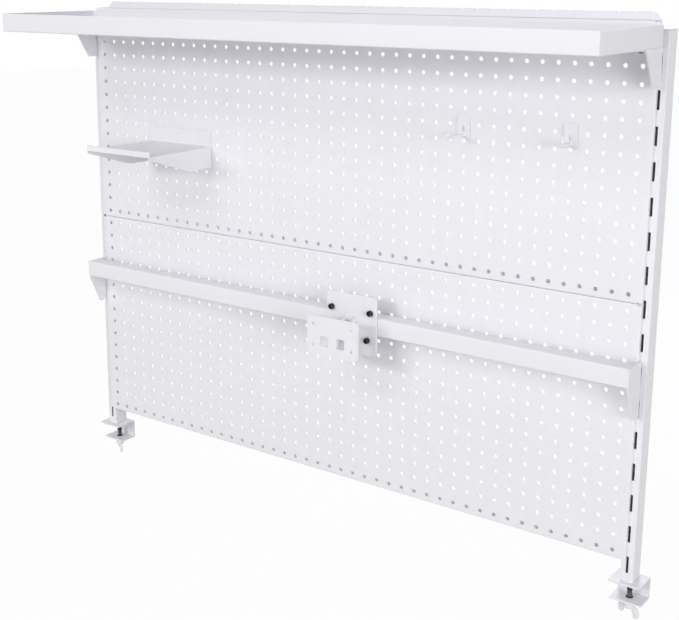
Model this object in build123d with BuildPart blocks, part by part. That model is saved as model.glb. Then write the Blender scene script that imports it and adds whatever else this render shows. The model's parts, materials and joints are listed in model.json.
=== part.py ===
"""Desk-clamped pegboard wall with a top tray, a cross rail with a display mount, a small shelf and two hooks.

Millimetres, +Z up. The origin is on the desk top's rear edge, midway between the two clamps:
X runs along the desk to the right, the desk lies towards -Y, and the wall stands up from it.
"""

import os
from math import cos, radians, sin, tan

from build123d import *

# Perforated sheet
peg_pitch = 25
peg_hole = 7
columns = 43  # real columns of peg holes
rows = 16  # real rows of peg holes in each panel
hole_step = 3  # the modelled sheet carries every third column and row, to keep its facets few
hole_sides = 6  # and those holes have six sides
side_margin = 21  # from the outer column of holes to the panel's edge
seam = 0.6
sheet = 1.5
bend = 1.4  # outer radius of the panels' front folds
return_depth = 25
lip_height = 12.5
lip_clip = 10
top_return_extra = 2.1  # a top return is deeper, so that its lip passes behind the panel above
desk_gap = 38.5  # from the desk to the lower panel

# Posts
post_width = 20
post_depth = 30
post_wall = 1.5
post_radius = 1.5
post_length = 822
post_lap = 8  # how far a panel's edge covers a post
panel_stand_off = 6  # the panel's face ahead of the posts' faces
slot_width = 4
slot_length = 27
slot_pitch = 50
slot_count = 16
slot_start = 27.5  # from the post's foot to the middle of the lowest slot
cap_flange = 2
cap_depth = 8
plug_clearance = 0.2

# Desk clamps
clamp_plate = 3
clamp_bend = 4
clamp_width = 50
top_jaw = 44
bottom_jaw = 33.5
throat = 30.5
post_setback = 4  # from the clamp's web to the post
screw_diameter = 8
screw_inset = 15.5  # from the web to the screw
screw_reach = 14  # from the desk's top down to the pad, as photographed
bush_body = 11
bush_rim = 1.2
bush_tail = 4
running = 0.05
pad_diameter = 9
pad_height = 4
hub_diameter = 16
hub_sides = 16
hub_height = 9
hub_drop = 39.5  # from the desk's top down to the hub
hub_floor = 2  # the hub's closed bottom under the screw's hexagonal shank
wing_span = 40
wing_thickness = 5
wing_drop = 21.5  # from the hub's top down to the wings' lowest point
wing_tip_width = 9
wing_bevel = 5
wing_shoulder = 3  # the wings' fall from the hub out to their shoulders
wing_angles = {"left": -38, "right": -22}

# Folded brackets and the hooks that seat in the slots
bracket_plate = 3
hook_neck = 15.5
hook_drop = 6
hook_grip = 3
hook_play = 0.3

# Top tray shelf
tray_depth = 217.2
tray_height = 31
tray_gap = 0.8  # between a bracket and the tray's side
wall_gap = 0.3  # between what hangs on the wall and the panel's face
tray_slot = 15  # the slot that the shelf brackets hook into, the lowest being 0
tray_above_slot = 21  # from the middle of that slot to the tray's underside
shelf_bracket_height = 53.5
shelf_bracket_depth = 52
shelf_bracket_toe = 20
shelf_flange = 20

# Cross rail
rail_size = 30
rail_wall = 2
rail_radius = 2.5
rail_gap = 11  # between the panel and the rail
rail_slot = 6  # the upper of the two slots that a rail bracket hooks into
rail_above_slot = 8
rail_bracket_drop = 55.5
rail_bracket_toe = 15

# Display mount
mount_x = 75
carriage_width = 98
carriage_height = 100
carriage_plate = 4
carriage_corner = 6
saddle_width = 46  # narrow enough to hide behind the front plate
saddle_flange = 86
saddle_reach = 33  # from the rail's middle to the flanges' outer edges
hidden_sides = 8  # sides of the holes that a screw fills, under its head
shaft_sides = 12
grip_spacing_top = 76
grip_spacing_bottom = 65
grip_spacing_z = 47
mount_screw_diameter = 6
screw_head_diameter = 10
screw_head_height = 6
hex_socket = 5
hex_depth = 3
head_drop = 11.5  # from the rail's middle down to the tilt axis
tilt_reach = 30.5  # from the front plate's face out to the tilt axis
tilt_base = 50
ear_spacing = 20  # over the bracket's two ears
ear_radius = 12
plate_reach = 21  # from the tilt axis out to the display plate's back
display_width = 100
display_height = 65
display_corner = 8
display_hole = 4.5
display_spacing_x = 75
display_spacing_z = 35
window_width = 16
window_height = 17
window_shift = 15.5  # from the display plate's middle to each window's, sideways
window_drop = 9  # and downwards
bolt_overhang = 2  # the tilt bolt's end past its nut
nut_across = 10
nut_height = 6

# Small shelf, hung by tabs in one row of peg holes
small_columns = range(5, 11)
small_row = 23
small_depth = 160
small_lip = 10
small_tab_drop = 1  # from the middle of the peg holes down to the tabs' tops and the back's top edge
small_back = 27.5  # from the floor's top up to the back's top edge
gusset_height = 37.5
gusset_toe = 6
gusset_knee = 56.5
tab_width = 4
tab_sheet = 1.5
tab_rise = 9

# Peg hooks: column, row, length of the wire and rise of its tip
peg_hooks = {"long": (31, 25, 48, 9), "short": (38, 25, 28, 15)}
hook_plate_width = 22
hook_plate_above = 15
hook_plate_below = 21
hook_plate_sheet = 2
wire_diameter = 5
wire_below = 16
wire_bend = 5

# Places that follow from the sizes
panel_width = (columns - 1) * peg_pitch + 2 * side_margin
panel_height = rows * peg_pitch
post_x = panel_width / 2 - post_lap + post_width / 2
post_front = -post_setback - post_depth
panel_front = post_front - panel_stand_off
wall_front = panel_front - wall_gap
inner_half = post_x - post_width / 2
foot_z = clamp_plate
first_row_z = desk_gap + peg_pitch / 2
tray_bottom = foot_z + slot_start + tray_slot * slot_pitch + tray_above_slot
tray_half = post_x + bracket_plate / 2 + tray_gap + sheet
rail_z = foot_z + slot_start + rail_slot * slot_pitch + rail_above_slot
rail_back = panel_front - rail_gap
rail_front = rail_back - rail_size
rail_mid = rail_back - rail_size / 2

os.makedirs("parts", exist_ok=True)


def save(part, name, colour):
    """Labels a finished piece and writes its file."""
    part.label = name
    part.color = Color(*colour)
    export_step(part, f"parts/{name}.step")


white = (0.92, 0.92, 0.94)
black = (0.06, 0.06, 0.07)
grey = (0.78, 0.78, 0.78)


def peg_x(column):
    """X of a column of peg holes, counted from the left."""
    return (column - (columns - 1) / 2) * peg_pitch


def peg_z(row):
    """Z of a row of peg holes, counted from the lowest."""
    return first_row_z + row * peg_pitch


def slot_z(number):
    """Z of the middle of a post slot, counted from the lowest."""
    return foot_z + slot_start + number * slot_pitch


# The four holes that an accessory's pattern is measured from stay round.
round_pegs = [(18, 21), (24, 21), (18, 24), (24, 24)]
sided_pegs = [(c, r) for c in range(0, columns, hole_step) for r in range(0, 2 * rows, hole_step)]
sided_pegs += [(column, small_row) for column in small_columns]
sided_pegs += [(column, row) for column, row, _, _ in peg_hooks.values()]
sided_pegs = sorted(set(sided_pegs) - set(round_pegs))

lug_height = 12
lug_depth = 8
lug_thickness = 2
lug_drop = 3
lug_play = 0.4
lug_inset = 30  # from a panel's top or bottom edge to the lug's middle
tab_length = lug_inset + lug_height
end_gap = 0.3  # between a panel's return and the post


def lug_heights(panel_bottom):
    """Z of the two lugs at each end of a panel."""
    return panel_bottom + lug_inset, panel_bottom + panel_height - lug_inset


lug_levels = [z for row in (0, rows) for z in lug_heights(desk_gap + row * peg_pitch)]
lug_y = post_front + post_depth / 2


# Posts: a tube with slots down its face and a hole for each panel lug in its inner side
for side, sign in (("left", -1), ("right", 1)):
    with BuildPart() as post:
        with BuildSketch(Plane.XY.offset(foot_z)):
            with Locations((sign * post_x, post_front + post_depth / 2)):
                RectangleRounded(post_width, post_depth, post_radius)
                Rectangle(post_width - 2 * post_wall, post_depth - 2 * post_wall, mode=Mode.SUBTRACT)
        extrude(amount=post_length)
        with BuildSketch(Plane.XZ.offset(-post_front)):
            with Locations((sign * post_x, slot_z((slot_count - 1) / 2))):
                with GridLocations(0, slot_pitch, 1, slot_count):
                    Rectangle(slot_width, slot_length)
        extrude(amount=-post_wall, mode=Mode.SUBTRACT)
        with BuildSketch(Plane.YZ.offset(sign * inner_half)):
            with Locations([(lug_y, z + lug_drop / 2) for z in lug_levels]):
                Rectangle(lug_depth + 2 * lug_play, lug_height + lug_drop)
        extrude(amount=sign * post_wall, mode=Mode.SUBTRACT)
    save(post.part, f"{side}_post", white)

cap_z = foot_z + post_length
plug = 2 * (post_wall + plug_clearance)
with BuildPart() as post_caps:
    with BuildSketch(Plane.XY.offset(cap_z)) as post_caps_outline:
        with Locations((-post_x, post_front + post_depth / 2), (post_x, post_front + post_depth / 2)):
            Rectangle(post_width, post_depth)
        chamfer(post_caps_outline.vertices(), post_radius / 2)
    extrude(amount=cap_flange)
    with BuildSketch(Plane.XY.offset(cap_z)):
        with Locations((-post_x, post_front + post_depth / 2), (post_x, post_front + post_depth / 2)):
            Rectangle(post_width - plug, post_depth - plug)
    extrude(amount=-cap_depth)
save(post_caps.part, "post_caps", white)


# Panels: a perforated face, narrow returns on the posts, deep returns with upturned lips between them
def make_panel(name, first_row):
    """One folded panel, from the row of its lowest holes."""
    bottom = desk_gap + first_row * peg_pitch
    low, high = bottom + seam / 2, bottom + panel_height - seam / 2
    half = inner_half - end_gap
    here = range(first_row, first_row + rows)
    with BuildPart() as panel:
        with BuildSketch(Plane.XZ.offset(-panel_front)):
            with Locations((0, (low + high) / 2)):
                Rectangle(panel_width, high - low)
        extrude(amount=-sheet)
        # side returns, which bear on the posts' faces
        with BuildSketch(Plane.XY.offset(low)):
            with Locations((0, panel_front + panel_stand_off / 2)):
                Rectangle(panel_width, panel_stand_off)
                Rectangle(panel_width - 2 * sheet, panel_stand_off, mode=Mode.SUBTRACT)
        extrude(amount=high - low)
        # top and bottom returns, with lips that are clipped at their ends
        for edge, depth in ((low, return_depth), (high - sheet, return_depth + top_return_extra)):
            with BuildSketch(Plane.XY.offset(edge)):
                with Locations((0, panel_front + depth / 2)):
                    Rectangle(2 * half, depth)
            extrude(amount=sheet)
            with BuildSketch(Plane.XZ.offset(-panel_front - depth)):
                with BuildLine():
                    Polyline(
                        (-half, edge),
                        (half, edge),
                        (half, edge + sheet),
                        (half - lip_clip, edge + lip_height),
                        (lip_clip - half, edge + lip_height),
                        (-half, edge + sheet),
                        close=True,
                    )
                make_face()
            extrude(amount=sheet)
        # end tabs off the returns, with the lugs that drop behind the posts' inner walls
        for sign in (-1, 1):
            with BuildSketch(Plane.YZ.offset(sign * half)):
                with Locations((lug_y, low + tab_length / 2), (lug_y, high - tab_length / 2)):
                    Rectangle(lug_depth, tab_length)
            extrude(amount=-sign * sheet)
            root = sign * (half - sheet)
            gap = sign * (inner_half + post_wall + hook_play)
            end = gap + sign * lug_thickness
            for z in lug_heights(bottom):
                top, under = z + lug_height / 2, z - lug_height / 2
                with BuildSketch(Plane.XZ.offset(-lug_y - lug_depth / 2)):
                    with BuildLine():
                        Polyline(
                            (root, top),
                            (end, top),
                            (end, under - lug_drop),
                            (gap, under - lug_drop),
                            (gap, under),
                            (root, under),
                            close=True,
                        )
                    make_face()
                extrude(amount=lug_depth)
        fillet(panel.faces().sort_by(Axis.Y)[0].outer_wire().edges(), bend)
        # peg holes
        with BuildSketch(Plane.XZ.offset(-panel_front)):
            with Locations([(peg_x(column), peg_z(row)) for column, row in sided_pegs if row in here]):
                RegularPolygon(peg_hole / 2, hole_sides, major_radius=False)
            for column, row in round_pegs:
                if row in here:
                    with Locations((peg_x(column), peg_z(row))):
                        Circle(peg_hole / 2)
        extrude(amount=-sheet, mode=Mode.SUBTRACT)
    save(panel.part, name, white)


make_panel("lower_panel", 0)
make_panel("upper_panel", rows)


# Desk clamps
def clamp_outline():
    """The folded C in the plane of Y and Z: upper jaw, web and lower jaw, with rounded bends."""
    with BuildLine() as outline:
        FilletPolyline(
            (-top_jaw, clamp_plate),
            (clamp_plate, clamp_plate),
            (clamp_plate, -throat - clamp_plate),
            (-bottom_jaw, -throat - clamp_plate),
            radius=clamp_bend,
        )
        Line((-bottom_jaw, -throat - clamp_plate), (-bottom_jaw, -throat))
        FilletPolyline(
            (-bottom_jaw, -throat),
            (0, -throat),
            (0, 0),
            (-top_jaw, 0),
            radius=clamp_bend - clamp_plate,
        )
        Line((-top_jaw, 0), (-top_jaw, clamp_plate))
    return outline.line


for side, sign in (("left", -1), ("right", 1)):
    axis = Location((sign * post_x, -screw_inset, 0))
    pad_top = -screw_reach
    screw_top = pad_top - pad_height

    with BuildPart() as clamp:
        with BuildSketch(Plane.YZ.offset(sign * post_x - clamp_width / 2)):
            with BuildLine():
                add(clamp_outline())
            make_face()
        extrude(amount=clamp_width)
        with Locations((sign * post_x, -screw_inset, -throat)):
            Hole(bush_body / 2, depth=clamp_plate + 1)
    save(clamp.part, f"{side}_clamp_bracket", white)

    with BuildPart() as pad:
        with BuildSketch(Plane.XY.offset(screw_top)):
            Circle(pad_diameter / 2)
        extrude(amount=pad_height)
    save(axis * pad.part, f"{side}_screw_pad", black)

    with BuildPart() as screw:
        with BuildSketch(Plane.XY.offset(-hub_drop)):
            Circle(screw_diameter / 2)
        extrude(amount=screw_top + hub_drop)
        with BuildSketch(Plane.XY.offset(-hub_drop)):
            RegularPolygon(screw_diameter / 2, 6)
        extrude(amount=hub_floor - hub_height)
    save(axis * screw.part, f"{side}_clamp_screw", black)

    with BuildPart() as wings:
        with BuildSketch(Plane.XZ.offset(-wing_thickness / 2)):
            with BuildLine():
                Polyline(
                    (0, -hub_drop - hub_floor),
                    (wing_span / 2 - wing_bevel, -hub_drop - hub_floor - wing_shoulder),
                    (wing_span / 2, -hub_drop - hub_floor - wing_shoulder - wing_bevel),
                    (wing_span / 2, -hub_drop - wing_drop + wing_bevel),
                    (wing_span / 2 - wing_bevel, -hub_drop - wing_drop),
                    (wing_span / 2 - wing_tip_width, -hub_drop - wing_drop),
                    (0, -hub_drop - hub_height + hub_floor / 2),
                    close=True,
                )
            make_face()
            mirror(about=Plane.YZ)
        extrude(amount=wing_thickness)
        with BuildSketch(Plane.XY.offset(-hub_drop)):
            RegularPolygon(hub_diameter / 2, hub_sides)
        extrude(amount=-hub_height)
        with BuildSketch(Plane.XY.offset(-hub_drop)):
            RegularPolygon(screw_diameter / 2, 6, rotation=-wing_angles[side])
        extrude(amount=hub_floor - hub_height, mode=Mode.SUBTRACT)
    save(axis * Rotation(0, 0, wing_angles[side]) * wings.part, f"{side}_wing_handle", grey)


with BuildPart() as clamp_bushes:
    with BuildSketch(Plane.XY.offset(bush_rim - throat)):
        with Locations((-post_x, -screw_inset), (post_x, -screw_inset)):
            Circle(bush_body / 2)
            Circle(screw_diameter / 2 + running, mode=Mode.SUBTRACT)
    extrude(amount=-bush_rim - bush_tail)
save(clamp_bushes.part, "clamp_bushes", black)


# The hook that a bracket hangs by, as an outline in the plane of Y and Z
def slot_hook(number):
    """A neck through the slot that rests on its lower end, and a tongue that drops behind the wall."""
    rest = slot_z(number) - slot_length / 2
    back = post_front + post_wall + hook_play
    return [
        (post_front, rest),
        (back, rest),
        (back, rest - hook_drop),
        (back + hook_grip, rest - hook_drop),
        (back + hook_grip, rest + hook_neck),
        (post_front, rest + hook_neck),
    ]


# Shelf brackets: a plate that hooks into a slot, with a flange under the tray
toe_z = tray_bottom - shelf_bracket_height
nose_y = panel_front - shelf_bracket_depth
for side, sign in (("left", -1), ("right", 1)):
    with BuildPart() as bracket:
        with BuildSketch(Plane.YZ.offset(sign * post_x - bracket_plate / 2)):
            with BuildLine():
                Polyline(
                    (post_front, toe_z),
                    *slot_hook(tray_slot),
                    (post_front, tray_bottom),
                    (nose_y, tray_bottom),
                    (nose_y, tray_bottom - bracket_plate),
                    (panel_front - shelf_bracket_toe, toe_z),
                    close=True,
                )
            make_face()
        extrude(amount=bracket_plate)
        inner_edge = sign * (post_x - bracket_plate / 2)
        with BuildSketch(Plane.XY.offset(tray_bottom)):
            with Locations((inner_edge - sign * shelf_flange / 2, (nose_y + wall_front) / 2)):
                Rectangle(shelf_flange, wall_front - nose_y)
        extrude(amount=-bracket_plate)
    save(bracket.part, f"{side}_shelf_bracket", white)

with BuildPart() as top_shelf:
    with BuildSketch(Plane.XY.offset(tray_bottom)):
        with Locations((0, wall_front - tray_depth / 2)):
            Rectangle(2 * tray_half, tray_depth)
    extrude(amount=tray_height)
    offset(amount=-sheet, openings=top_shelf.faces().sort_by(Axis.Z)[-1])
save(top_shelf.part, "top_shelf", white)


# Cross rail between two end brackets
rail_half = post_x - bracket_plate / 2
with BuildPart() as cross_rail:
    with BuildSketch(Plane.YZ.offset(-rail_half)):
        with Locations((rail_mid, rail_z)):
            RectangleRounded(rail_size, rail_size, rail_radius)
            Rectangle(rail_size - 2 * rail_wall, rail_size - 2 * rail_wall, mode=Mode.SUBTRACT)
    extrude(amount=2 * rail_half)
save(cross_rail.part, "cross_rail", white)

rail_top, rail_bottom = rail_z + rail_size / 2, rail_z - rail_size / 2
rail_toe_z = rail_bottom - rail_bracket_drop
for side, sign in (("left", -1), ("right", 1)):
    with BuildPart() as bracket:
        with BuildSketch(Plane.YZ.offset(sign * post_x - bracket_plate / 2)):
            with BuildLine():
                Polyline(
                    (post_front, rail_toe_z),
                    *slot_hook(rail_slot - 1),
                    *slot_hook(rail_slot),
                    (post_front, rail_top),
                    (rail_front, rail_top),
                    (rail_front, rail_bottom),
                    (panel_front - rail_bracket_toe, rail_toe_z),
                    close=True,
                )
            make_face()
        extrude(amount=bracket_plate)
    save(bracket.part, f"{side}_rail_bracket", white)


# Display mount: a plate ahead of the rail and a saddle round its back, drawn together by four screws
grip_points = [
    (mount_x - grip_spacing_top / 2, rail_z + grip_spacing_z / 2),
    (mount_x + grip_spacing_top / 2, rail_z + grip_spacing_z / 2),
    (mount_x - grip_spacing_bottom / 2, rail_z - grip_spacing_z / 2),
    (mount_x + grip_spacing_bottom / 2, rail_z - grip_spacing_z / 2),
]
plate_back = rail_front - hook_play
plate_face = plate_back - carriage_plate
jaw_front = rail_back + hook_play

with BuildPart() as carriage_front_plate:
    with BuildSketch(Plane.XZ.offset(-plate_face)):
        with Locations((mount_x, rail_z)):
            RectangleRounded(carriage_width, carriage_height, carriage_corner)
        with Locations(grip_points):
            RegularPolygon(mount_screw_diameter / 2 + running, hidden_sides, major_radius=False, mode=Mode.SUBTRACT)
    extrude(amount=-carriage_plate)
save(carriage_front_plate.part, "carriage_front_plate", white)

saddle_bore = rail_size / 2 + hook_play
flange_height = saddle_reach - saddle_bore
with BuildPart() as carriage_saddle:
    with BuildSketch(Plane.YZ.offset(mount_x - saddle_width / 2)):
        with Locations(((plate_back + jaw_front + carriage_plate) / 2, rail_z)):
            Rectangle(jaw_front + carriage_plate - plate_back, 2 * (saddle_bore + carriage_plate))
        with Locations(((plate_back + jaw_front) / 2, rail_z)):
            Rectangle(jaw_front - plate_back, 2 * saddle_bore, mode=Mode.SUBTRACT)
    extrude(amount=saddle_width)
    with BuildSketch(Plane.XZ.offset(-plate_back)):
        for level in (rail_z + saddle_bore + flange_height / 2, rail_z - saddle_bore - flange_height / 2):
            with Locations((mount_x, level)):
                Rectangle(saddle_flange, flange_height)
        with Locations(grip_points):
            RegularPolygon(mount_screw_diameter / 2 + running, hidden_sides, major_radius=False, mode=Mode.SUBTRACT)
    extrude(amount=-carriage_plate)
save(carriage_saddle.part, "carriage_saddle", white)

grip_length = 2 * carriage_plate
with BuildPart() as carriage_screws:
    with BuildSketch(Plane.XZ.offset(-plate_face)):
        with Locations(grip_points):
            Circle(screw_head_diameter / 2)
    extrude(amount=screw_head_height)
    with BuildSketch(Plane.XZ.offset(-plate_face)):
        with Locations(grip_points):
            RegularPolygon(mount_screw_diameter / 2, shaft_sides)
    extrude(amount=-grip_length)
    with BuildSketch(Plane.XZ.offset(-plate_face + screw_head_height)):
        with Locations(grip_points):
            RegularPolygon(hex_socket / 2, 6, major_radius=False)
    extrude(amount=-hex_depth, mode=Mode.SUBTRACT)
save(carriage_screws.part, "carriage_screws", black)

tilt_y = plate_face - tilt_reach
tilt_z = rail_z - head_drop


def ear_outline(root_y, half_height, bore_sides=0):
    """An ear in the plane of Y and Z: from its root to the boss round the tilt axis, with a bore through it."""
    with BuildSketch() as outline:
        with BuildLine():
            Polyline(
                (root_y, tilt_z + half_height),
                (root_y, tilt_z - half_height),
                (tilt_y, tilt_z - ear_radius),
                (tilt_y, tilt_z + ear_radius),
                close=True,
            )
        make_face()
        with Locations((tilt_y, tilt_z)):
            Circle(ear_radius)
            if bore_sides:
                RegularPolygon(mount_screw_diameter / 2 + running, bore_sides, major_radius=False, mode=Mode.SUBTRACT)
            else:
                Circle(mount_screw_diameter / 2 + running, mode=Mode.SUBTRACT)
    return outline.sketch


with BuildPart() as tilt_bracket:
    with BuildSketch(Plane.XZ.offset(-plate_face)):
        with Locations((mount_x, tilt_z)):
            Rectangle(ear_spacing, tilt_base)
    extrude(amount=bracket_plate)
    for ear_x in (-ear_spacing / 2, ear_spacing / 2 - bracket_plate):
        with BuildSketch(Plane.YZ.offset(mount_x + ear_x)):
            add(ear_outline(plate_face, tilt_base / 2, hidden_sides))
        extrude(amount=bracket_plate)
save(tilt_bracket.part, "tilt_bracket", white)

display_back = tilt_y - plate_reach
inner_ears = ear_spacing / 2 - bracket_plate - hook_play
with BuildPart() as display_plate:
    with BuildSketch(Plane.XZ.offset(-display_back)):
        with Locations((mount_x, tilt_z)):
            RectangleRounded(display_width, display_height, display_corner)
            with GridLocations(display_spacing_x, display_spacing_z, 2, 2):
                Circle(display_hole / 2, mode=Mode.SUBTRACT)
        windows = [(mount_x - window_shift, tilt_z - window_drop), (mount_x + window_shift, tilt_z - window_drop)]
        with Locations(windows):
            Rectangle(window_width, window_height, mode=Mode.SUBTRACT)
    extrude(amount=bracket_plate)
    for ear_x in (-inner_ears, inner_ears - bracket_plate):
        with BuildSketch(Plane.YZ.offset(mount_x + ear_x)):
            add(ear_outline(display_back, display_height / 2 - display_corner))
        extrude(amount=bracket_plate)
save(display_plate.part, "display_plate", white)

bolt_length = ear_spacing + nut_height + bolt_overhang
with BuildPart() as tilt_bolt:
    with BuildSketch(Plane.YZ.offset(mount_x + ear_spacing / 2)):
        with Locations((tilt_y, tilt_z)):
            Circle(screw_head_diameter / 2)
    extrude(amount=screw_head_height)
    with BuildSketch(Plane.YZ.offset(mount_x + ear_spacing / 2)):
        with Locations((tilt_y, tilt_z)):
            Circle(mount_screw_diameter / 2)
    extrude(amount=-bolt_length)
    with BuildSketch(Plane.YZ.offset(mount_x + ear_spacing / 2 + screw_head_height)):
        with Locations((tilt_y, tilt_z)):
            RegularPolygon(hex_socket / 2, 6, major_radius=False)
    extrude(amount=-hex_depth, mode=Mode.SUBTRACT)
save(tilt_bolt.part, "tilt_bolt", black)

with BuildPart() as tilt_nut:
    with BuildSketch(Plane.YZ.offset(mount_x - ear_spacing / 2)):
        with Locations((tilt_y, tilt_z)):
            RegularPolygon(nut_across / 2, 6, major_radius=False)
            Circle(mount_screw_diameter / 2, mode=Mode.SUBTRACT)
    extrude(amount=-nut_height)
save(tilt_nut.part, "tilt_nut", black)


# Small shelf: back, floor, front lip and two gussets in one folded sheet, with tabs at the back's top
def bent_tabs(points):
    """Tabs bent back out of a plate at wall_front, through the peg holes and up behind the panel."""
    behind = panel_front + sheet + hook_play
    with BuildPart() as tabs:
        for x, z in points:
            with BuildSketch(Plane.YZ.offset(x - tab_width / 2)):
                with BuildLine():
                    Polyline(
                        (wall_front, z - tab_sheet),
                        (behind + tab_sheet, z - tab_sheet),
                        (behind + tab_sheet, z + tab_rise),
                        (behind, z + tab_rise),
                        (behind, z),
                        (wall_front, z),
                        close=True,
                    )
                make_face()
            extrude(amount=tab_width)
    return tabs.part


back_top = peg_z(small_row) - small_tab_drop
small_left = peg_x(small_columns[0]) - peg_pitch / 2
small_right = peg_x(small_columns[-1]) + peg_pitch / 2
small_width = small_right - small_left
small_middle = (small_left + small_right) / 2
floor_top = back_top - small_back
floor_z = floor_top - sheet
small_front = wall_front - small_depth
gusset_z = floor_top - gusset_height
small_tabs = [(peg_x(column), back_top) for column in small_columns]

with BuildPart() as small_shelf:
    with BuildSketch(Plane.XZ.offset(-wall_front)):
        with Locations((small_middle, (gusset_z + back_top) / 2)):
            Rectangle(small_width, back_top - gusset_z)
    extrude(amount=sheet)
    with BuildSketch(Plane.XY.offset(floor_z)):
        with Locations((small_middle, (small_front + wall_front) / 2)):
            Rectangle(small_width, small_depth)
    extrude(amount=sheet)
    with BuildSketch(Plane.XZ.offset(-small_front)):
        with Locations((small_middle, floor_z + small_lip / 2)):
            Rectangle(small_width, small_lip)
    extrude(amount=-sheet)
    for edge in (small_left, small_right - sheet):
        with BuildSketch(Plane.YZ.offset(edge)):
            with BuildLine():
                Polyline(
                    (wall_front, floor_top),
                    (small_front, floor_top),
                    (small_front, floor_top - gusset_toe),
                    (wall_front - gusset_knee, gusset_z),
                    (wall_front, gusset_z),
                    close=True,
                )
            make_face()
        extrude(amount=sheet)
    add(bent_tabs(small_tabs))
save(small_shelf.part, "small_shelf", white)


# Peg hooks: a plate with one tab, and a wire welded to it with its tip turned up
for name, (column, row, reach, rise) in peg_hooks.items():
    x, z = peg_x(column), peg_z(row)
    face = wall_front - hook_plate_sheet
    with BuildPart() as hook_plate:
        with BuildSketch(Plane.XZ.offset(-wall_front)):
            with Locations((x, z + (hook_plate_above - hook_plate_below) / 2)):
                Rectangle(hook_plate_width, hook_plate_above + hook_plate_below)
            with Locations((x, z - tab_sheet - tab_rise / 2)):
                Rectangle(tab_width, tab_rise, mode=Mode.SUBTRACT)
        extrude(amount=hook_plate_sheet)
        add(bent_tabs([(x, z)]))
        chamfer(hook_plate.edges().filter_by(Axis.Y).sort_by(Axis.Z)[:2], hook_plate_sheet)
    save(hook_plate.part, f"{name}_hook_plate", white)

    wire_z = z - wire_below
    with BuildPart() as wire:
        with BuildLine() as path:
            Polyline(
                (x, face, wire_z),
                (x, face - reach + wire_bend, wire_z),
                (x, face - reach, wire_z + wire_bend),
                (x, face - reach, wire_z + rise),
            )
        with BuildSketch(Plane.XZ.offset(-face)):
            with Locations((x, wire_z)):
                RegularPolygon(wire_diameter / 2, shaft_sides)
        sweep(path=path.line, transition=Transition.RIGHT)
    save(wire.part, f"{name}_hook_arm", white)
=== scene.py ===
import json
from math import atan2, cos, hypot, pi, radians, sin

import bmesh
import bpy
import numpy as np
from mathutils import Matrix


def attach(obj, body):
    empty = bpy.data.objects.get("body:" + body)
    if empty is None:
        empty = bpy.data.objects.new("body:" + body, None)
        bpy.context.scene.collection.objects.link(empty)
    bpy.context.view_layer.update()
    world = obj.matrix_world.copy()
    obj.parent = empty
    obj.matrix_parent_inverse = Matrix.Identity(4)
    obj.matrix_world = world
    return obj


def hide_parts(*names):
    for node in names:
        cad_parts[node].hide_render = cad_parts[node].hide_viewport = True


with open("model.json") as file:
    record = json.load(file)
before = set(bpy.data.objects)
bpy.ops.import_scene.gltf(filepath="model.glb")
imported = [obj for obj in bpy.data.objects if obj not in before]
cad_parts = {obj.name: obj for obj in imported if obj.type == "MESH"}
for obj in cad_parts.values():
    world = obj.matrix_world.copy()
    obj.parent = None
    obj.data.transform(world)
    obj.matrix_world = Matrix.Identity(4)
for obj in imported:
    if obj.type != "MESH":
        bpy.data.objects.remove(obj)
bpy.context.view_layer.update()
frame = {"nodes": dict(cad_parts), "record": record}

nodes = frame["nodes"]
mm = 0.001

# camera
photoCamera = {
    "place": (1.1300, -1.6372, 0.8991),
    "azimuth": 36.56,
    "elevation": 13.07,
    "focalPixels": 1184.18,
    "centre": (304.4, 249.3),
    "frame": (679, 620),
    "sensor": 36.0,
    "farthest": 40,
}


def aimCamera(c):
    wide, high = c["frame"]
    data = bpy.data.cameras.new("photoCamera")
    data.sensor_fit = "HORIZONTAL"
    data.sensor_width = c["sensor"]
    data.lens = c["focalPixels"] * c["sensor"] / wide
    data.shift_x = (wide / 2 - c["centre"][0]) / wide
    data.shift_y = (c["centre"][1] - high / 2) / wide
    data.clip_end = c["farthest"]
    camera = bpy.data.objects.new("photoCamera", data)
    camera.location = c["place"]
    camera.rotation_euler = (pi / 2 - radians(c["elevation"]), 0, radians(c["azimuth"]))
    bpy.context.scene.collection.objects.link(camera)
    bpy.context.scene.camera = camera


aimCamera(photoCamera)
print("camera set")


# shader arithmetic
class Sock:
    # one socket of a tree; + - * on it add the Math nodes
    def __init__(self, tree, out):
        self.tree, self.out = tree, out

    def _math(self, op, a, b):
        node = self.tree.nodes.new("ShaderNodeMath")
        node.operation = op
        for i, v in enumerate((a, b)):
            if isinstance(v, Sock):
                self.tree.links.new(v.out, node.inputs[i])
            else:
                node.inputs[i].default_value = v
        return Sock(self.tree, node.outputs[0])

    def __add__(self, o): return self._math("ADD", self, o)
    def __radd__(self, o): return self._math("ADD", o, self)
    def __sub__(self, o): return self._math("SUBTRACT", self, o)
    def __rsub__(self, o): return self._math("SUBTRACT", o, self)
    def __mul__(self, o): return self._math("MULTIPLY", self, o)
    def __rmul__(self, o): return self._math("MULTIPLY", o, self)
    def most(self, o): return self._math("MAXIMUM", self, o)


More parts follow.
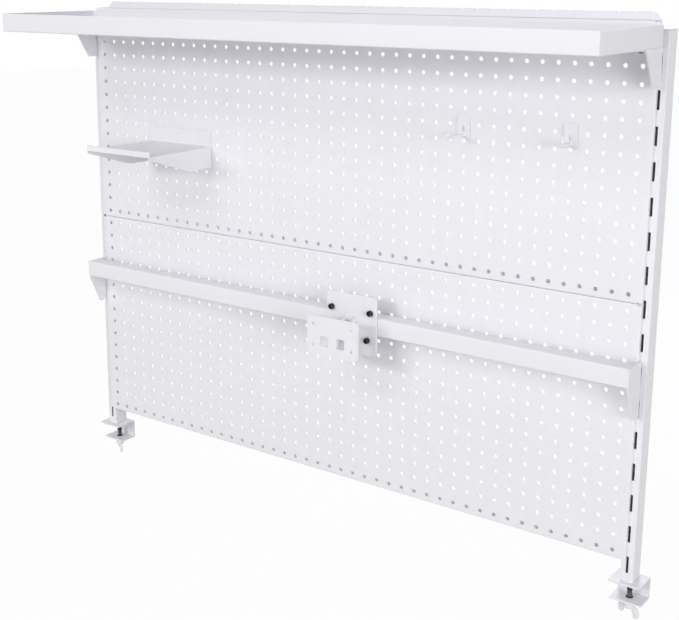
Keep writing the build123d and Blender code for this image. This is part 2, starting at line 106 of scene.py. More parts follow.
class Tree:
    # the node tree of a material or a world, with one method that adds any node
    def __init__(self, owner):
        self.owner = owner
        owner.use_nodes = True
        self.tree = owner.node_tree
        self.tree.nodes.clear()

    def node(self, kind, settings=None, output=0, slots=None, **values):
        # values go to the inputs by name, with _ for a space, and slots by number
        made = self.tree.nodes.new(kind)
        for key, value in (settings or {}).items():
            setattr(made, key, value)
        named = {key.replace("_", " "): value for key, value in values.items()}
        for key, value in {**named, **(slots or {})}.items():
            if isinstance(value, Sock):
                self.tree.links.new(value.out, made.inputs[key])
            else:
                made.inputs[key].default_value = value
        return Sock(self.tree, made.outputs[output] if made.outputs else None)

    def seen(self):
        # 1 on rays from the camera and on rays that a glossy or clear surface sends on
        kinds = ("Is Camera Ray", "Is Glossy Ray", "Is Transmission Ray")
        camera, glossy, clear = (self.node("ShaderNodeLightPath", output=kind) for kind in kinds)
        return camera.most(glossy).most(clear)


class Finish(Tree):
    def __init__(self, name):
        super().__init__(bpy.data.materials.new(name))

    def noise(self, scale, detail=2.0, roughness=0.5):
        place = self.node("ShaderNodeTexCoord", output=3)
        return self.node("ShaderNodeTexNoise", Vector=place, Scale=scale, Detail=detail, Roughness=roughness)

    def tint(self, low, high, factor):
        return self.node("ShaderNodeMix", {"data_type": "RGBA"}, 2, {0: factor, 6: (*low, 1), 7: (*high, 1)})

    def close(self, bump, depth, strength, **surface):
        surface["Normal"] = self.node("ShaderNodeBump", Height=bump, Distance=depth, Strength=strength)
        shader = self.node("ShaderNodeBsdfPrincipled", **surface)
        self.node("ShaderNodeOutputMaterial", Surface=shader)
        return self.owner


# peel: fine pimples about a millimetre apart; cloud: slow change of thickness in the coat
coat = {
    "low": (0.800, 0.793, 0.832), "high": (0.850, 0.842, 0.883),
    "peel": 900, "cloud": 7, "roughness": 0.38,
}


def powderCoat(name, c):
    f = Finish(name)
    peel = f.noise(c["peel"], 3, 0.55)
    cloud = f.noise(c["cloud"], 4, 0.6)
    grain = f.noise(c["peel"] * 3, 1)
    return f.close(
        bump=peel + 0.35 * grain,
        depth=0.00012,
        strength=0.35,
        Base_Color=f.tint(c["low"], c["high"], cloud * 0.7 + peel * 0.3),
        Roughness=c["roughness"] + 0.10 * peel + 0.06 * cloud,
        Specular_IOR_Level=0.45,
    )


def moulded(name, low, high, roughness, grain=1400):
    # plastic or rubber from a lightly spark-eroded mould
    f = Finish(name)
    fine = f.noise(grain, 2, 0.6)
    cloud = f.noise(28, 3)
    return f.close(
        bump=fine,
        depth=0.0001,
        strength=0.3,
        Base_Color=f.tint(low, high, cloud),
        Roughness=roughness + 0.12 * fine,
    )


def blackSteel(name, low, high):
    # oiled black oxide over turned steel
    f = Finish(name)
    mottle = f.noise(240, 4, 0.65)
    fine = f.noise(2200, 1)
    return f.close(
        bump=fine + mottle,
        depth=0.00005,
        strength=0.4,
        Base_Color=f.tint(low, high, mottle),
        Roughness=0.22 + 0.20 * mottle,
        Metallic=0.85,
        Specular_IOR_Level=0.5,
    )


finishes = {
    "white_coat": powderCoat("whitePowderCoat", coat),
    "white_plastic": moulded("whitePlastic", (0.76, 0.76, 0.78), (0.80, 0.80, 0.81), 0.45),
    "black_steel": blackSteel("blackOxideSteel", (0.022, 0.022, 0.023), (0.070, 0.069, 0.067)),
    "grey_plastic": moulded("greyPlastic", (0.80, 0.80, 0.81), (0.86, 0.86, 0.86), 0.48),
    "pad_rubber": moulded("padRubber", (0.014, 0.014, 0.015), (0.028, 0.028, 0.028), 0.7, 900),
}
rubbedSteel = blackSteel("rubbedThreadSteel", (0.07, 0.07, 0.072), (0.20, 0.20, 0.195))  # on the clamps' threads
slotOf = {entry["node"]: entry["material_slot"] for entry in frame["record"]["subparts"]}
for name, thing in nodes.items():
    thing.data.materials.clear()
    thing.data.materials.append(finishes[slotOf[name]])
print("finishes ready:", len(finishes))

# making and placing pieces
weldDistance = 2e-6  # points closer than this become one
crease = 35  # degrees; edges sharper than this stay hard
rounding = {"segments": 2, "angle": 40}


def piece(name, points, faces, slot, body, smooth=crease, stands=()):
    # a mesh from arrays of points and faces, which rides on a body and takes a slot's finish
    mesh = bpy.data.meshes.new(name)
    corners = np.asarray(points, float).reshape(-1, 3).tolist()
    mesh.from_pydata(corners, [], [list(map(int, f)) for f in faces])
    work = bmesh.new()
    work.from_mesh(mesh)
    bmesh.ops.remove_doubles(work, verts=work.verts, dist=weldDistance)
    bmesh.ops.dissolve_degenerate(work, edges=work.edges, dist=1e-7)
    bmesh.ops.recalc_face_normals(work, faces=work.faces)
    work.to_mesh(mesh)
    work.free()
    made = bpy.data.objects.new(name, mesh)
    bpy.context.scene.collection.objects.link(made)
    mesh.materials.append(finishes[slot])
    shade(mesh, smooth)
    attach(made, body)
    if stands:
        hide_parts(*stands)
    return made


def shade(mesh, angle):
    # smooth shading, with edges sharper than the angle kept hard
    mesh.polygons.foreach_set("use_smooth", [True] * len(mesh.polygons))
    mesh.set_sharp_from_angle(angle=radians(angle))


def gridFaces(rows, columns, wrap=False, first=0):
    # quads between neighbouring rows and columns of a grid of points; wrap joins the last column to the first
    r, c = np.meshgrid(np.arange(rows - 1), np.arange(columns if wrap else columns - 1), indexing="ij")
    right = (c + 1) % columns
    near, far = r * columns, (r + 1) * columns
    quads = np.stack([near + c, near + right, far + right, far + c], -1)
    return (quads.reshape(-1, 4) + first).tolist()


def thicken(thing, thickness):
    # sheet metal: a wall grown from the outer skin
    wall = thing.modifiers.new("sheet", "SOLIDIFY")
    wall.thickness = thickness
    wall.offset = -1
    wall.use_even_offset = True
    wall.use_quality_normals = True


def soften(thing, width):
    # a small radius on every hard edge
    edge = thing.modifiers.new("edges", "BEVEL")
    edge.width = width
    edge.segments = rounding["segments"]
    edge.limit_method = "ANGLE"
    edge.angle_limit = radians(rounding["angle"])
    edge.harden_normals = True


def settle(thing):
    # the modifiers made part of the mesh, then hard edges found again on the result
    seen = thing.evaluated_get(bpy.context.evaluated_depsgraph_get())
    mesh = bpy.data.meshes.new_from_object(seen)
    thing.modifiers.clear()
    thing.data = mesh
    shade(mesh, crease)


def fold(corners, radius, steps=5):
    # a path of straight runs with an arc of the radius at each inner corner: centre + a vector that is
    # swung from one run's normal to the next one's, (start sin((1 - t) w) + end sin(t w)) / sin(w)
    corners = [np.array(p, float) for p in corners]
    out = [corners[0]]
    for before, at, after in zip(corners, corners[1:], corners[2:]):
        inward = (before - at) / np.linalg.norm(before - at)
        onward = (after - at) / np.linalg.norm(after - at)
        half = np.arccos(np.clip(inward @ onward, -1, 1)) / 2
        reach = radius / np.tan(half)
        middle = at + (inward + onward) / np.linalg.norm(inward + onward) * radius / np.sin(half)
        start, end = at + inward * reach - middle, at + onward * reach - middle
        turn = np.linspace(0, 1, steps + 1)[:, None]
        arc = start * np.sin((1 - turn) * (pi - 2 * half)) + end * np.sin(turn * (pi - 2 * half))
        out.extend(middle + arc / np.sin(pi - 2 * half))
    out.append(corners[-1])
    return np.array(out)


def turned(profile, centre, axis, around=32):
    # a profile of (radius, height, shape) carried round an axis:
    # centre + radius * shape(a, height) * (across cos a + up sin a) + axis * height
    centre, axis = np.array(centre, float), np.array(axis, float)
    across = np.array((1.0, 0, 0)) if abs(axis[0]) < 0.5 else np.array((0, 1.0, 0))
    up = np.cross(axis, across)
    a = np.arange(around) * 2 * pi / around
    ring = np.cos(a)[:, None] * across + np.sin(a)[:, None] * up
    rows = []
    for radius, height, shape in profile:
        reach = (radius * shape(a, height))[:, None] if shape else radius
        rows.append(centre + ring * reach + axis * height)
    return np.concatenate(rows), gridFaces(len(rows), around, wrap=True)


def hexShape(a, height):
    # distance to a hexagon's side over its apothem: 1 / cos((a + 30 deg) mod 60 deg - 30 deg)
    return 1 / np.cos((a + pi / 6) % (pi / 3) - pi / 6)


def gather(shapes):
    # several (points, faces) as one
    points, faces, count = [], [], 0
    for p, f in shapes:
        points.append(p)
        faces += [[i + count for i in face] for face in f]
        count += len(p)
    return np.concatenate(points), faces


def slab(outline, near, far):
    # an outline of (x, z) carried along y
    n = len(outline)
    points = np.zeros((2, n, 3))
    points[:, :, [0, 2]] = np.array(outline)
    points[0, :, 1], points[1, :, 1] = near, far
    faces = gridFaces(2, n, wrap=True) + [list(range(n)), list(range(n, 2 * n))[::-1]]
    return points.reshape(-1, 3), faces


def turnAbout(points, centre, degrees):
    # points turned about the vertical through centre
    a = radians(degrees)
    out = np.array(points, float)
    x, y = out[:, 0] - centre[0], out[:, 1] - centre[1]
    out[:, 0], out[:, 1] = centre[0] + x * cos(a) - y * sin(a), centre[1] + x * sin(a) + y * cos(a)
    return out


def bodyOf(node):
    for name, members in frame["record"]["behaviour"]["bodies"].items():
        if node in members:
            return name
    raise KeyError(node)


def softCopy(node, width):
    # the CAD node's own form, merged and with its hard edges rounded
    mesh = nodes[node].data.copy()
    work = bmesh.new()
    work.from_mesh(mesh)
    bmesh.ops.remove_doubles(work, verts=work.verts, dist=weldDistance)
    bmesh.ops.dissolve_limit(work, angle_limit=radians(0.5), verts=work.verts, edges=work.edges)
    work.to_mesh(mesh)
    work.free()
    made = bpy.data.objects.new(node + "Soft", mesh)
    bpy.context.scene.collection.objects.link(made)
    mesh.materials.clear()
    mesh.materials.append(finishes[slotOf[node]])
    shade(mesh, 32)
    soften(made, width)
    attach(made, bodyOf(node))
    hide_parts(node)


# perforated panels, in millimetres as everything that follows
panel = {
    "pitch": 25.0,
    "hole": 3.5,
    "columns": 43,
    "rows": 16,
    "halfWidth": 546.0,
    "front": -40.0,
    "sheet": 1.5,
    "bend": 2.0,
    "seam": 0.3,
    "returnHalf": 537.7,
    "bottomReturn": 25.0,
    "topReturn": 27.1,
    "jog": 6.0,  # from the top return's back edge to where its skin steps down by the sheet
    "lip": 12.5,
    "lipClip": 10.0,
    "standOff": 6.0,
    "around": 16,
    "notch": 2.2,
}
panelBottoms = {"lower": 38.5, "upper": 438.5}


def cellSteps(p):
    # where the rays at a cell's points meet its square edge: half pitch * tan a, from -45 to 45 degrees
    reach = p["around"] // 8
    return np.tan(np.arange(-reach, reach + 1) * 2 * pi / p["around"]) * p["pitch"] / 2


def holeColumns(p):
    return (np.arange(p["columns"]) - (p["columns"] - 1) / 2) * p["pitch"]


def pegField(p, bottom, low, high):
    # each hole's cell: at angle a the square cell's edge, then the circle;
    # square(a) = half pitch * (cos a, sin a) / max(|cos a|, |sin a|), circle(a) = radius * (cos a, sin a)
    angle = np.arange(p["around"]) * 2 * pi / p["around"]
    ray = np.stack([np.cos(angle), np.sin(angle)], -1)
    square = ray / np.abs(ray).max(1, keepdims=True) * p["pitch"] / 2
    rings = np.stack([square, ray * p["hole"]])
    row = bottom + p["pitch"] * (np.arange(p["rows"]) + 0.5)
    centre = np.stack(np.meshgrid(holeColumns(p), row, indexing="ij"), -1).reshape(-1, 1, 1, 2)
    flat = centre + rings
    flat[..., 1] = np.clip(flat[..., 1], low, high)
    points = np.stack([flat[..., 0], np.full(flat.shape[:-1], p["front"]), flat[..., 1]], -1)
    one = np.array(gridFaces(2, p["around"], wrap=True))
    faces = (one[None] + (np.arange(len(points)) * 2 * p["around"])[:, None, None]).reshape(-1, 4)
    return points.reshape(-1, 3), faces


def edgeLevels(p, bottom, low, high):
    # the heights at which the outer cells' edges have points, so that the side strips meet them
    rows = bottom + p["pitch"] * (np.arange(p["rows"])[:, None] + 0.5)
    return np.unique(np.round(np.clip(rows + cellSteps(p), low, high), 6))


def returnStops(p):
    # x of the points along a return: the cells' own, the notches' and the return's two ends
    middle = holeColumns(p)[:, None]
    cells = middle + np.round(cellSteps(p), 6)
    notches = middle + np.linspace(-1, 1, 9) ** 3 * p["notch"]
    stops = [np.round(cells.ravel(), 6), np.round(notches.ravel(), 6), [-p["returnHalf"], p["returnHalf"]]]
    across = np.unique(np.concatenate(stops))
    return across[np.abs(across) <= p["returnHalf"]]


def returnPath(p, edge, towards, depth):
    # (y, z) from the front face over the edge to the back and on to the lip's tip
    front, bend = p["front"], p["bend"]
    start, back = edge + towards * bend, front + depth
    if towards > 0:
        return fold([(front, start), (front, edge), (back, edge), (back, edge + p["lip"])], bend)
    under, jog = edge - p["sheet"], back - p["jog"]
    inner = fold([(jog, under), (back, under), (back, under + p["lip"])], bend)
    return np.concatenate([fold([(front, start), (front, edge), (jog, edge)], bend), inner[1:]])


def makePanel(name, node, bottom, p):
    top = bottom + p["rows"] * p["pitch"]
    low, high = bottom + p["seam"] + p["bend"], top - p["seam"] - p["bend"]
    field, cells = pegField(p, bottom, low, high)
    points, faces = [field], cells.tolist()
    count = len(field)

    def strip(rows):
        # rows[k][j]: point j of profile step k
        nonlocal count
        rows = np.asarray(rows, float)
        points.append(rows.reshape(-1, 3))
        faces.extend(gridFaces(rows.shape[0], rows.shape[1], first=count))
        count += rows.shape[0] * rows.shape[1]

    levels = edgeLevels(p, bottom, low, high)
    outer = (p["columns"] / 2) * p["pitch"]
    side = [(outer, p["front"]), (p["halfWidth"], p["front"]), (p["halfWidth"], p["front"] + p["standOff"])]
    for sign in (-1, 1):
        strip([[(sign * x, y, z) for z in levels] for x, y in fold(side, p["bend"])])
    across = returnStops(p)
    for edge, towards, depth in (
        (bottom + p["seam"], 1, p["bottomReturn"]),
        (top - p["seam"], -1, p["topReturn"]),
    ):
        path = returnPath(p, edge, towards, depth)
        rows = [np.stack([across, np.full(len(across), y), np.full(len(across), z)], -1) for y, z in path]
        # half holes cut the lip's edge: z = tip - sqrt(r^2 - dx^2), and its ends are clipped
        away = np.abs(across - np.round(across / p["pitch"]) * p["pitch"])
        rows[-1][:, 2] -= np.sqrt(np.maximum(p["notch"] ** 2 - away**2, 0))
        rows[-1][:, 0] = np.sign(across) * np.minimum(np.abs(across), p["returnHalf"] - p["lipClip"])
        strip(rows)
    made = piece(name, np.concatenate(points) * mm, faces, "white_coat", "frame", stands=(node,))
    thicken(made, p["sheet"] * mm)
    settle(made)


lugs = {
    "inset": 30.0, "height": 12.0, "deep": 8.0, "y": -19.0,
    "gap": 539.8, "thick": 2.0, "drop": 3.0, "tab": 42.0, "edge": 0.3,
}


def makeLugs(name, bottom, p, g):
    # tabs bent along the returns' ends, and hooks that reach into the posts' inner walls
    shapes = []
    near, far = g["y"] - g["deep"] / 2, g["y"] + g["deep"] / 2
    top = bottom + p["rows"] * p["pitch"]
    low, high = bottom + p["seam"], top - p["seam"]
    for sign in (-1, 1):
        outer, inner = sign * p["returnHalf"], sign * (p["returnHalf"] - p["sheet"])
        gap, end = sign * g["gap"], sign * (g["gap"] + g["thick"])
        for start, stop in ((low + p["sheet"], low + g["tab"]), (high - g["tab"], high - p["sheet"])):
            shapes.append(slab([(inner, start), (outer, start), (outer, stop), (inner, stop)], near, far))
        for z in (bottom + g["inset"], top - g["inset"]):
            over, under = z + g["height"] / 2, z - g["height"] / 2
            tip = under - g["drop"]
            hook = [(outer, over), (end, over), (end, tip), (gap, tip), (gap, under), (outer, under)]
            shapes.append(slab(hook, near, far))
    points, faces = gather(shapes)
    soften(piece(name, points * mm, faces, "white_coat", "frame"), g["edge"] * mm)


for name, bottom in panelBottoms.items():
    makePanel(name + "PanelSheet", name + "_panel", bottom, panel)
    makeLugs(name + "PanelLugs", bottom, panel, lugs)
print("panels made")

# tray
tray = {
    "half": 551.8, "front": -257.5, "back": -40.3, "bottom": 801.5, "height": 31.0,
    "sheet": 1.5, "bend": 2.4, "corner": 2.2, "leastCorner": 0.05, "edge": 0.3,
}


def makeTray(t):
    # ring k lies inset d from the outer walls at height z: d = R - R sin a, z = R - R cos a, then straight up
    a = np.linspace(0, pi / 2, 7)
    inset = np.append(t["bend"] * (1 - np.sin(a)), 0)
    level = np.append(t["bend"] * (1 - np.cos(a)), t["height"])
    middleY, halfY = (t["front"] + t["back"]) / 2, (t["back"] - t["front"]) / 2
    turn = np.linspace(0, pi / 2, 6)
    rings = []
    for d, z in zip(inset, level):
        r = max(t["corner"] - d, t["leastCorner"])
        ring = []
        for quarter, (sx, sy) in enumerate(((1, 1), (-1, 1), (-1, -1), (1, -1))):
            b = turn + quarter * pi / 2
            x = sx * (t["half"] - d - r) + r * np.cos(b)
            y = middleY + sy * (halfY - d - r) + r * np.sin(b)
            ring.append(np.stack([x, y, np.full(len(b), t["bottom"] + z)], -1))
        rings.append(np.concatenate(ring))
    around = len(rings[0])
    faces = gridFaces(len(rings), around, wrap=True) + [list(range(around))]
    made = piece("topTray", np.concatenate(rings) * mm, faces, "white_coat", "frame", stands=("top_shelf",))
    thicken(made, t["sheet"] * mm)
    settle(made)
    soften(made, t["edge"] * mm)


# pan-head screws up through the shelf brackets' flanges into the tray
flangeScrew = {
    "x": 536.5, "y": (-53.0, -80.0), "z": 798.5,
    "head": 4.0, "height": 2.6, "slot": 1.3, "depth": 1.4, "dome": 1.1,
}


def makeFlangeScrews(s):
    # a domed head, profile (r, h) = (R cos b, H sin b), with a hexagonal recess
    b = np.linspace(0, s["dome"], 7)
    crown = s["height"] * sin(b[-1])
    floor = crown - s["depth"]
    rows = [(0, 0, None), (s["head"], 0, None)]
    rows += [(s["head"] * cos(t), s["height"] * sin(t), None) for t in b[1:]]
    rows += [(s["slot"], crown, hexShape), (s["slot"], floor, hexShape), (0, floor, None)]
    places = [(sign * s["x"], y, s["z"]) for sign in (-1, 1) for y in s["y"]]
    points, faces = gather([turned(rows, place, (0, 0, -1), around=24) for place in places])
    piece("trayScrews", points * mm, faces, "black_steel", "frame")


makeTray(tray)
makeFlangeScrews(flangeScrew)
print("tray made")

# plates, tubes and brackets with rounded edges
edgeRadius = {
    "left_post": 0.3, "right_post": 0.3, "post_caps": 0.6, "cross_rail": 0.3,
    "left_clamp_bracket": 0.4, "right_clamp_bracket": 0.4,
    "left_shelf_bracket": 0.4, "right_shelf_bracket": 0.4,
    "left_rail_bracket": 0.4, "right_rail_bracket": 0.4,
    "carriage_front_plate": 0.6, "carriage_saddle": 0.6,
    "tilt_bracket": 0.4, "display_plate": 0.5,
    "small_shelf": 0.3, "long_hook_plate": 0.4, "short_hook_plate": 0.4,
}
for node, width in edgeRadius.items():
    softCopy(node, width * mm)
print("plates rounded:", len(edgeRadius))

# the display mount's screws
socketScrew = {
    "shaft": 3.0, "pitch": 1.0, "thread": 0.5, "point": 0.9, "runIn": 0.5, "runOut": 0.3,
    "head": 5.0, "height": 6.0, "rim": 0.3, "knurls": 32, "knurl": 0.014, "knurlTop": 0.9,
    "crown": ((0.15, 0.5), (0.7, 0.0)),  # inwards from the head's side and down from its top
    "socket": 2.5, "depth": 3.0, "mouth": 0.9, "mouthDrop": 0.5, "mouthPlay": 0.1, "drill": 0.8,
}
lockNut = {
    "bore": 3.05, "face": 4.7, "flats": 5.0, "blunt": 1.09,
    "lower": (0.3, 0.5), "upper": (4.2, 4.5),  # where the flats' chamfers start and end
    "collar": 4.3, "collarFrom": 4.6, "collarTo": 5.5, "crown": 3.8, "height": 6.0,
}


def threadShape(s):
    # r(a, h) = 1 - depth / radius * (0.5 - 0.5 cos(2 pi (h / pitch - a / 2 pi)))
    return lambda a, h: 1 - s["thread"] / s["shaft"] * (0.5 - 0.5 * np.cos(2 * pi * h / s["pitch"] - a))


def threadRows(s, start, end):
    # eight rings to a turn of the thread
    shape = threadShape(s)
    return [(s["shaft"], h, shape) for h in np.linspace(start, end, int(abs(end - start) / s["pitch"] * 8))]


def capScrew(s, centre, axis, plain, length):
    # profile from the tip up to the socket's floor; h = 0 is the face that the head bears on
    knurl = lambda a, h: 1 - s["knurl"] * (0.5 + 0.5 * np.cos(s["knurls"] * a))
    r, top, socket = s["head"], s["height"], s["socket"]
    rows = [(0, -length, None), (s["shaft"] - s["point"], -length, None)]
    rows += threadRows(s, -length + s["runIn"], -plain)
    rows += [(s["shaft"], -plain + s["runOut"], None), (s["shaft"], 0, None), (r - s["rim"], 0, None)]
    rows += [(r, s["rim"], knurl), (r, top - s["knurlTop"], knurl)]
    rows += [(r - inward, top - down, None) for inward, down in s["crown"]]
    rows += [(socket + s["mouth"], top, None), (socket + s["mouthPlay"], top - s["mouthDrop"], hexShape)]
    rows += [(socket, top - s["depth"], hexShape), (0, top - s["depth"] - s["drill"], None)]
    return turned(rows, centre, axis, around=s["knurls"] * 4)


carriage = {
    "x": 75.0, "z": 338.5, "face": -85.3,
    "upper": 38.0, "lower": 32.5, "dz": 23.5, "length": 8.0, "plain": 1.5,
    "tiltY": -115.8, "tiltZ": 327.0, "ear": 10.0, "overhang": 8.0, "earPlain": 2.0,
}


def makeCarriageScrews(c, s):
    shapes = []
    for dx, dz in ((c["upper"], c["dz"]), (-c["upper"], c["dz"]), (c["lower"], -c["dz"]), (-c["lower"], -c["dz"])):
        place = (c["x"] + dx, c["face"], c["z"] + dz)
        shapes.append(capScrew(s, place, (0, -1, 0), c["plain"], c["length"]))
    points, faces = gather(shapes)
    piece("carriageScrewSet", points * mm, faces, "black_steel", "carriage", stands=("carriage_screws",))


def makeTiltAxle(c, s):
    across = 2 * c["ear"]
    head = (c["x"] + c["ear"], c["tiltY"], c["tiltZ"])
    points, faces = capScrew(s, head, (1, 0, 0), across - c["earPlain"], across + c["overhang"])
    piece("tiltAxle", points * mm, faces, "black_steel", "carriage", stands=("tilt_bolt",))


def makeLockNut(c, n):
    # six flats with a chamfer that rounds the corners, then a collar
    blunt = lambda a, h: np.minimum(hexShape(a, h), n["blunt"])
    rows = [(n["bore"], 0, None), (n["face"], 0, None)]
    rows += [(n["flats"], n["lower"][0], blunt), (n["flats"], n["lower"][1], hexShape)]
    rows += [(n["flats"], n["upper"][0], hexShape), (n["flats"], n["upper"][1], blunt)]
    rows += [(n["collar"], n["collarFrom"], None), (n["collar"], n["collarTo"], None)]
    rows += [(n["crown"], n["height"], None), (n["bore"], n["height"], None), (n["bore"], 0, None)]
    points, faces = turned(rows, (c["x"] - c["ear"], c["tiltY"], c["tiltZ"]), (-1, 0, 0), around=96)
    piece("tiltLockNut", points * mm, faces, "black_steel", "carriage", stands=("tilt_nut",))


makeCarriageScrews(carriage, socketScrew)
makeTiltAxle(carriage, socketScrew)
makeLockNut(carriage, lockNut)
print("display mount dressed")

# desk clamps
clampThread = {
    "shaft": 4.0, "pitch": 1.25, "thread": 0.62,
    "point": 0.8, "runIn": 0.5, "runOut": 0.6, "neck": 0.3, "buried": 6.0,
}
clamp = {
    "x": 548.0, "y": -15.5,
    "padTop": -14.0, "padBottom": -18.0, "padRadius": 4.5, "padEdge": 0.5, "padCrown": 1.0, "padRound": 0.3,
    "tipGap": 0.05,  # between the pad and the screw's tip
    "hubTop": -39.5, "hubHeight": 9.0, "hubRadius": 8.0, "hubBore": 4.0,
    "hubBevel": 0.8, "hubTaper": 0.6, "hubFoot": 1.2, "hubBase": 1.8, "hubDish": 0.4,
    "bushTop": -29.3, "bushBottom": -34.5, "bushRadius": 5.5, "bushBore": 4.1, "bushEdge": 0.4,
    "wingThick": 5.0, "wingRound": 1.8,
    "wing": [
        (2, -2), (8, -2.8), (14, -4.4), (19.2, -8.2), (20, -14), (19.2, -19),
        (15.5, -21.5), (11.6, -20.2), (9.4, -14.6), (6.4, -9.8), (2, -8.2),
    ],
}
wingTurn = {"left": -38, "right": -22}


def roundOutline(points, steps=5):
    # closed Catmull-Rom curve through the points
    p = np.array(points, float)
    t = (np.arange(steps) / steps)[None, :, None]
    a, b, c, d = (np.roll(p, k, 0)[:, None] for k in (1, 0, -1, -2))
    curve = 0.5 * (2 * b + (c - a) * t + (2 * a - 5 * b + 4 * c - d) * t**2 + (3 * b - a - 3 * c + d) * t**3)
    return curve.reshape(-1, 2)


def pillow(outline, thick, edge, steps=5):
    # the outline drawn in along its own normal n: p - n * edge * (1 - cos b), at height half - edge + edge sin b
    ahead, behind = np.roll(outline, -1, 0), np.roll(outline, 1, 0)
    along = ahead - behind
    normal = np.stack([along[:, 1], -along[:, 0]], -1) / np.linalg.norm(along, axis=1, keepdims=True)
    area = np.sum(outline[:, 0] * ahead[:, 1] - outline[:, 1] * ahead[:, 0])
    normal *= 1 if area > 0 else -1
    rows = []
    for b in np.linspace(-pi / 2, pi / 2, 2 * steps):
        flat = outline - normal * edge * (1 - cos(b))
        y = np.sign(b) * (thick / 2 - edge) + edge * sin(b)
        rows.append(np.stack([flat[:, 0], np.full(len(flat), y), flat[:, 1]], -1))
    n = len(outline)
    faces = gridFaces(len(rows), n, wrap=True)
    faces += [list(range(n)), list(range((len(rows) - 1) * n, len(rows) * n))]
    return np.concatenate(rows), faces


def makeWingGrip(side, at, c):
    # a turned hub with the wing's outline on both sides of it
    r, top, bottom = c["hubRadius"], c["hubTop"], c["hubTop"] - c["hubHeight"]
    rows = [(c["hubBore"], top, None), (r - c["hubBevel"], top, None), (r, top - c["hubBevel"], None)]
    rows += [(r - c["hubTaper"], bottom + c["hubFoot"], None), (r - c["hubBase"], bottom, None)]
    rows += [(0, bottom - c["hubDish"], None)]
    shapes = [turned(rows, at, (0, 0, 1), around=48)]
    outline = roundOutline(c["wing"])
    for flip in (-1, 1):
        points, faces = pillow(outline * (flip, 1), c["wingThick"], c["wingRound"])
        points[:, 2] += top
        shapes.append((turnAbout(points + np.array(at), at, wingTurn[side]), faces))
    points, faces = gather(shapes)
    stands = (side + "_wing_handle",)
    piece(side + "WingGrip", points * mm, faces, "grey_plastic", side + "_screw", smooth=50, stands=stands)


def makeClampScrew(side, at, c, s):
    tip, hub = c["padBottom"] - c["tipGap"], c["hubTop"]
    rows = [(0, tip, None), (s["shaft"] - s["point"], tip, None)]
    rows += threadRows(s, tip - s["runIn"], hub + s["runOut"])
    rows += [(s["shaft"], hub + s["neck"], None), (s["shaft"], hub - s["buried"], None)]
    rows += [(0, hub - s["buried"], None)]
    points, faces = turned(rows, at, (0, 0, 1))
    stands = (side + "_clamp_screw",)
    screw = piece(side + "ThreadedScrew", points * mm, faces, "black_steel", side + "_screw", stands=stands)
    screw.data.materials[0] = rubbedSteel


def makePad(side, at, c):
    r, top, bottom = c["padRadius"], c["padTop"], c["padBottom"]
    rows = [(0, bottom, None), (r - c["padEdge"], bottom, None), (r, bottom + c["padEdge"], None)]
    rows += [(r, top - c["padCrown"], None), (r - c["padRound"], top - c["padRound"], None)]
    rows += [(r - c["padCrown"], top, None), (0, top, None)]
    points, faces = turned(rows, at, (0, 0, 1))
    stands = (side + "_screw_pad",)
    piece(side + "PressurePad", points * mm, faces, "pad_rubber", side + "_pad", smooth=50, stands=stands)


def makeBushes(c):
    r, bore, edge = c["bushRadius"], c["bushBore"], c["bushEdge"]
    top, bottom = c["bushTop"], c["bushBottom"]
    rows = [(bore, top, None), (r - edge, top, None), (r, top - edge, None)]
    rows += [(r, bottom + edge, None), (r - edge, bottom, None), (bore, bottom, None), (bore, top, None)]
    places = [(sign * c["x"], c["y"], 0) for sign in (-1, 1)]
    points, faces = gather([turned(rows, place, (0, 0, 1), around=40) for place in places])
    piece("jawBushes", points * mm, faces, "black_steel", "frame", stands=("clamp_bushes",))


for side, sign in (("left", -1), ("right", 1)):
    at = (sign * clamp["x"], clamp["y"], 0)
    makeWingGrip(side, at, clamp)
    makeClampScrew(side, at, clamp, clampThread)
    makePad(side, at, clamp)
makeBushes(clamp)
print("clamps dressed")

# peg hooks: x, z, length and rise of each
wire = {
    "radius": 2.5, "bend": 5.0, "bendSteps": 10, "around": 24,
    "plate": -42.3, "weld": 1.4, "weldLength": 2.0, "endRings": 5,
}
hooks = {"long": (250.0, 660.0, 48.0, 9.0), "short": (425.0, 660.0, 28.0, 15.0)}


def makeHook(name, x, z, reach, rise, w):
    # a circle carried along the bent path, swollen to a weld at the plate and closed by a half ball:
    # r(s) = radius + weld * (1 - s / length)^2 over the weld's length
    n, r, out = w["endRings"], w["radius"], w["plate"] - reach
    path = fold([(w["plate"], z), (out, z), (out, z + rise - r)], w["bend"], w["bendSteps"])
    start = np.linspace(0, w["weldLength"], n)[:, None] * (-1, 0) + path[0]
    ball = np.linspace(0, pi / 2, n + 1)[1:]
    tip = path[-1] + np.stack([np.zeros(n), r * np.sin(ball)], -1)
    centres = np.concatenate([start, path[1:], tip])
    radius = np.full(len(centres), r)
    radius[:n] += w["weld"] * (1 - np.linspace(0, 1, n)) ** 2
    radius[-n:] = r * np.cos(ball)
    along = np.gradient(centres, axis=0)
    along[-n - 1:] = (0, 1)
    along /= np.linalg.norm(along, axis=1, keepdims=True)
    a = np.arange(w["around"]) * 2 * pi / w["around"]
    side = radius[:, None] * np.cos(a)
    lift = radius[:, None] * np.sin(a)
    y, level = centres[:, :1] - along[:, 1:] * lift, centres[:, 1:] + along[:, :1] * lift
    points = np.stack([x + side, y, level], -1).reshape(-1, 3)
    faces = gridFaces(len(centres), w["around"], wrap=True) + [list(range(w["around"]))]
    stands = (name + "_hook_arm",)
    piece(name + "HookWire", points * mm, faces, "white_coat", "frame", smooth=60, stands=stands)


for name, (x, z, reach, rise) in hooks.items():
    makeHook(name, x, z, reach, rise, wire)
print("hooks made")

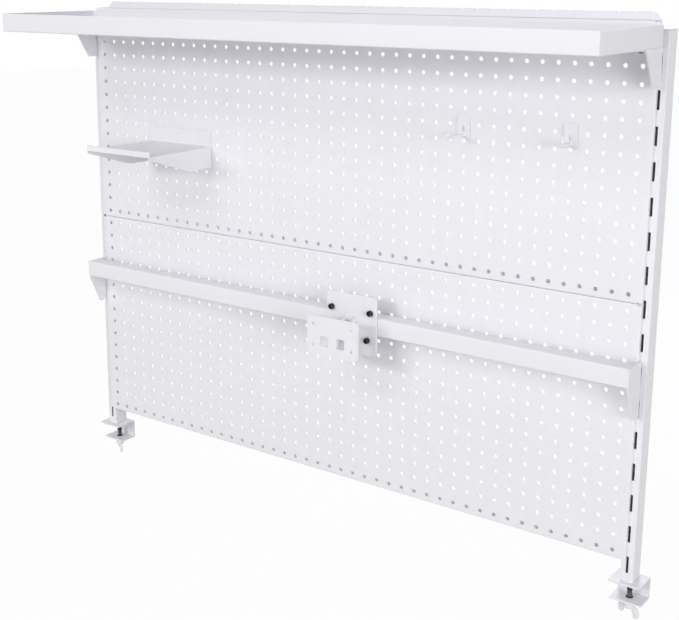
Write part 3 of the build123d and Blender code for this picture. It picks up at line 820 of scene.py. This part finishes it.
# floor, backdrop and light, in metres
studio = {"floor": -0.73, "size": 30.0, "sky": 0.36, "shade": 0.6, "glow": 0.97}
lamps = {
    "keyBox": {"place": (-1.2, -4.4, 1.85), "aim": (0.0, 0.0, 0.4), "size": (2.0, 0.8), "power": 62},
    "highBox": {"place": (-0.6, -3.8, 3.5), "aim": (0.0, 0.0, 0.3), "size": (2.4, 1.4), "power": 34},
    "lowBox": {"place": (-0.7, -4.4, 0.15), "aim": (0.0, 0.0, 0.2), "size": (2.0, 0.7), "power": 12},
    "fillBox": {"place": (4.0, -1.9, 1.0), "aim": (0.0, 0.0, 0.4), "size": (2.2, 1.3), "power": 76},
    "backBox": {"place": (-1.4, 4.2, 1.5), "aim": (0.0, 0.0, 0.4), "size": (2.2, 1.4), "power": 75},
}


def paleFloor(s):
    # near-white floor that keeps the object's shadow: diffuse, and lifted towards white where it is seen
    f = Finish("paleFloor")
    diffuse = f.node("ShaderNodeBsdfDiffuse", Color=(s["shade"],) * 3 + (1,))
    glow = f.node("ShaderNodeEmission", Color=(1, 1, 1, 1), Strength=1.0)
    mixed = f.node("ShaderNodeMixShader", slots={0: f.seen() * s["glow"], 1: diffuse, 2: glow})
    f.node("ShaderNodeOutputMaterial", Surface=mixed)
    return f.owner


def makeStudio(s):
    mesh = bpy.data.meshes.new("studioFloor")
    half = s["size"] / 2
    corners = [(x * half, y * half, s["floor"]) for x, y in ((-1, -1), (1, -1), (1, 1), (-1, 1))]
    mesh.from_pydata(corners, [], [(0, 1, 2, 3)])
    ground = bpy.data.objects.new("studioFloor", mesh)
    bpy.context.scene.collection.objects.link(ground)
    mesh.materials.append(paleFloor(s))
    world = bpy.data.worlds.new("studioSky")
    bpy.context.scene.world = world
    sky = Tree(world)
    level = sky.node("ShaderNodeMapRange", Value=sky.seen(), To_Min=s["sky"], To_Max=1.0)
    sky.node("ShaderNodeOutputWorld", Surface=sky.node("ShaderNodeBackground", Color=(1, 1, 1, 1), Strength=level))


def softBox(name, b):
    lamp = bpy.data.lights.new(name, "AREA")
    lamp.shape = "RECTANGLE"
    lamp.size, lamp.size_y = b["size"]
    lamp.energy = b["power"]
    thing = bpy.data.objects.new(name, lamp)
    thing.location = b["place"]
    dx, dy, dz = (to - at for to, at in zip(b["aim"], b["place"]))
    thing.rotation_euler = (atan2(hypot(dx, dy), -dz), 0, atan2(-dx, dy))
    bpy.context.scene.collection.objects.link(thing)


makeStudio(studio)
for name, box in lamps.items():
    softBox(name, box)
bpy.context.scene.view_settings.view_transform = "Standard"
print("studio lit")
